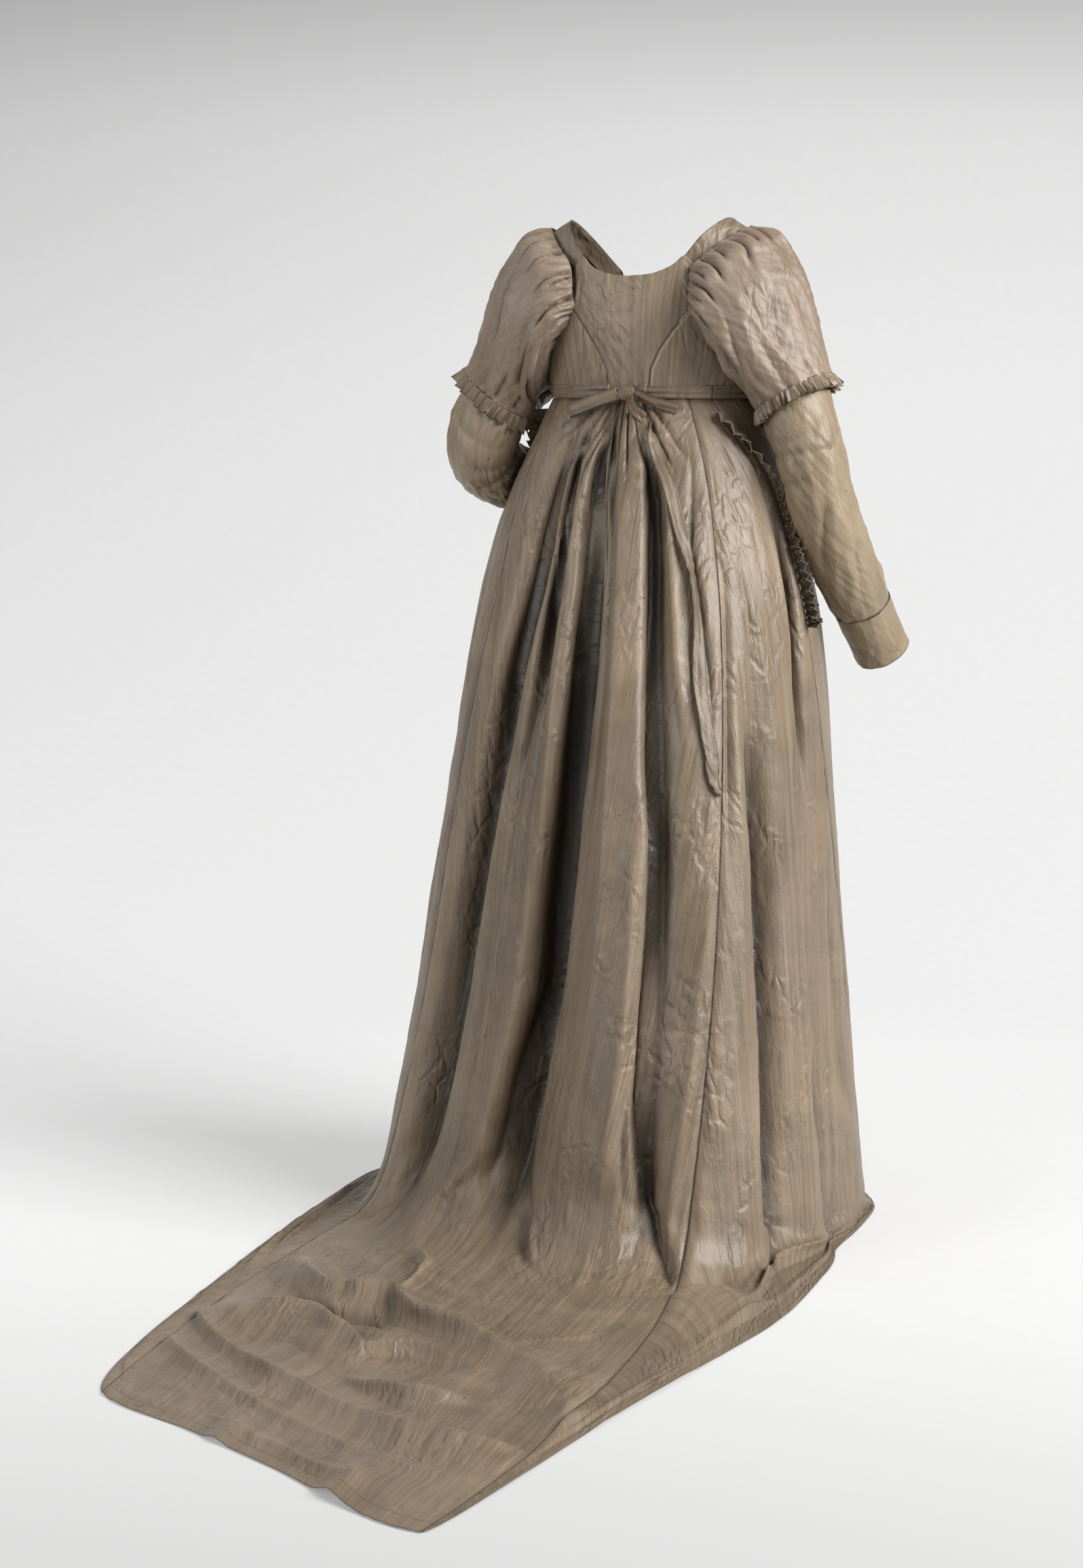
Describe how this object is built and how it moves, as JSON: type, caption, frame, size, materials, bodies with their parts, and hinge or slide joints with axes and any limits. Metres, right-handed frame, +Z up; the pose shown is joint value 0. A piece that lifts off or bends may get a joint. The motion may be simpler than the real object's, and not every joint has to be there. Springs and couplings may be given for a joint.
{
  "type": "regency gown",
  "caption": "Floor-length silk gown with a raised waist, puffed oversleeves over long sleeves, frilled apron-opening front, tied back and a long spread train; keeps its worn hollow form.",
  "frame": {"origin": "on the body's upright axis, at the height of the top of the shoulder straps, where the wearer's shoulders carry the gown", "axes": "+Z up, the front of the gown at -Y and the train towards +Y, the wearer's right at -X"},
  "size_m": [0.7812, 1.55, 1.3527],
  "materials": {
    "skirt_silk": "plain woven silk with a soft sheen, fine lengthwise streaks and creases",
    "bodice_silk": "plain woven silk, flat and smooth, with lengthwise streaks",
    "oversleeve_silk": "plain woven silk, gathered and softly creased",
    "undersleeve_silk": "plain woven silk, soft creases across the arm",
    "ruffle_silk": "frilled silk strips with a narrow stitched edge",
    "tape_silk": "narrow folded silk tape",
    "belt_loop_thread": "matt pale yellow thread"
  },
  "bodies": {
    "root": {"skirt_front": "skirt_silk", "skirt_side_left": "skirt_silk", "skirt_side_right": "skirt_silk", "skirt_back": "skirt_silk", "bodice_back_centre": "bodice_silk", "bodice_front": "bodice_silk", "bodice_side_back_left": "bodice_silk", "bodice_side_back_right": "bodice_silk", "shoulder_strap_left": "bodice_silk", "shoulder_strap_right": "bodice_silk", "oversleeve_left": "oversleeve_silk", "oversleeve_right": "oversleeve_silk", "undersleeve_elbow_left": "undersleeve_silk", "undersleeve_elbow_right": "undersleeve_silk", "undersleeve_forearm_left": "undersleeve_silk", "undersleeve_forearm_right": "undersleeve_silk", "sleeve_cuff_left": "undersleeve_silk", "sleeve_cuff_right": "undersleeve_silk", "sleeve_ruffle_left": "ruffle_silk", "sleeve_ruffle_right": "ruffle_silk", "apron_ruffle_left": "ruffle_silk", "apron_ruffle_right": "ruffle_silk", "apron_waistband": "tape_silk", "waist_tape_left": "tape_silk", "waist_tape_right": "tape_silk", "bow_knot": "tape_silk", "bow_loop_left": "tape_silk", "bow_end_right": "tape_silk", "bow_loop_right": "tape_silk", "tie_long": "tape_silk", "belt_loop_left": "belt_loop_thread", "belt_loop_right": "belt_loop_thread"}
  },
  "joints": []
}
